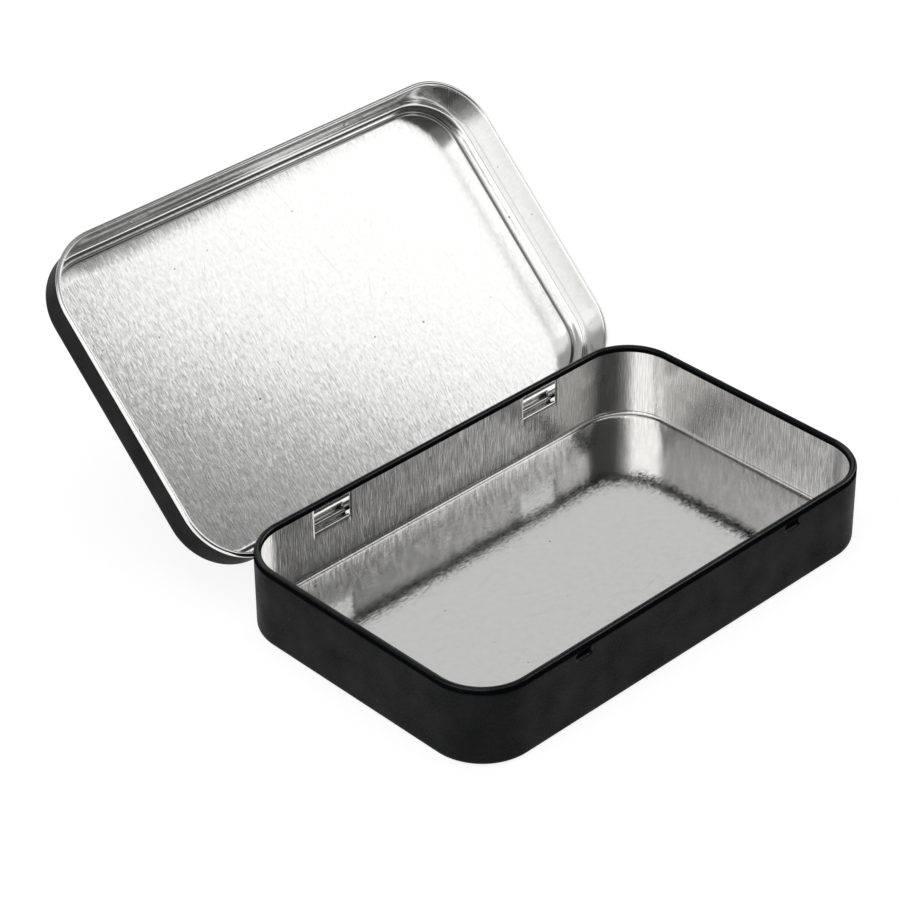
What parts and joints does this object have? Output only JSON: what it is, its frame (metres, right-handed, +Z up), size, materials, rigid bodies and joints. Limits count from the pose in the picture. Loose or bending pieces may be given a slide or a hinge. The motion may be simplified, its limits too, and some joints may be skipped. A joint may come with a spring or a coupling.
{
  "type": "card game tin with hinged lid",
  "caption": "Slim rounded-corner tin for a deck of cards, with rolled rims and a lid that turns on its own beaded edge in rolled hooks of the base.",
  "frame": {"origin": "centre of the flat underside of the base", "axes": "+X along the long side, +Y from the front wall towards the hinge, +Z up out of the open base"},
  "size_m": [0.1134, 0.1256, 0.0603],
  "materials": {
    "base_metal": "satin black outside, bare tinplate inside",
    "lid_metal": "satin black outside, bare tinplate inside"
  },
  "bodies": {
    "base": {"base": "base_metal"},
    "lid": {"lid": "lid_metal"}
  },
  "joints": [
    {"name": "lid_hinge", "type": "hinge", "parent": "base", "child": "lid", "pos_m": [0, 0.03538, 0.01058], "axis": [1, 0, 0], "range_deg": [0, 136]}
  ]
}
